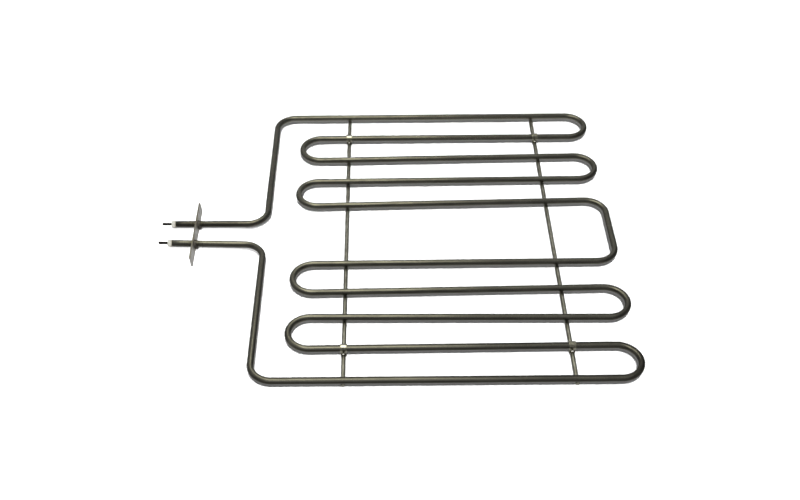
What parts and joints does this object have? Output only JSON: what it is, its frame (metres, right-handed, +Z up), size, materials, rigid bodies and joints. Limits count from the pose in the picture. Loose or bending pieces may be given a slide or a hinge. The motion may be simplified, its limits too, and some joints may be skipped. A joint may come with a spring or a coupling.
{
  "type": "oven heating element",
  "caption": "Flat serpentine sheathed heating element with two legs through a small mounting plate, ceramic end beads, bare terminal pins, cross rods and strap clips.",
  "frame": {"origin": "on the outer face of the mounting plate, midway between the legs, at the height of the tube's centreline", "axes": "+X from the terminals into the oven, +Z up, +Y to the left seen along +X"},
  "size_m": [0.4612, 0.4116, 0.0134],
  "materials": {
    "sheath_steel": "satin, annealed olive grey",
    "rod_steel": "satin, annealed",
    "clip_steel": "bright rolled strip, annealed",
    "plate_steel": "satin rolled sheet",
    "pin_steel": "dark oxidised",
    "braze": "dark, scorched",
    "ceramic": "matt fired ceramic",
    "sealant": "matt",
    "magnesia": "packed powder",
    "coil_wire": "bright drawn wire"
  },
  "bodies": {
    "root": {"heating_tube": "sheath_steel", "magnesia_filling": "magnesia", "resistance_coil": "coil_wire", "terminal_pin_left": "pin_steel", "terminal_pin_right": "pin_steel", "ceramic_bead_left": "ceramic", "ceramic_bead_right": "ceramic", "end_seal_left": "sealant", "end_seal_right": "sealant", "mounting_plate": "plate_steel", "braze_collar_left": "braze", "braze_collar_right": "braze", "cross_rod_rear": "rod_steel", "cross_rod_front": "rod_steel", "strap_clip_rear_left": "clip_steel", "strap_clip_rear_right": "clip_steel", "strap_clip_front_left": "clip_steel", "strap_clip_front_right": "clip_steel"}
  },
  "joints": []
}
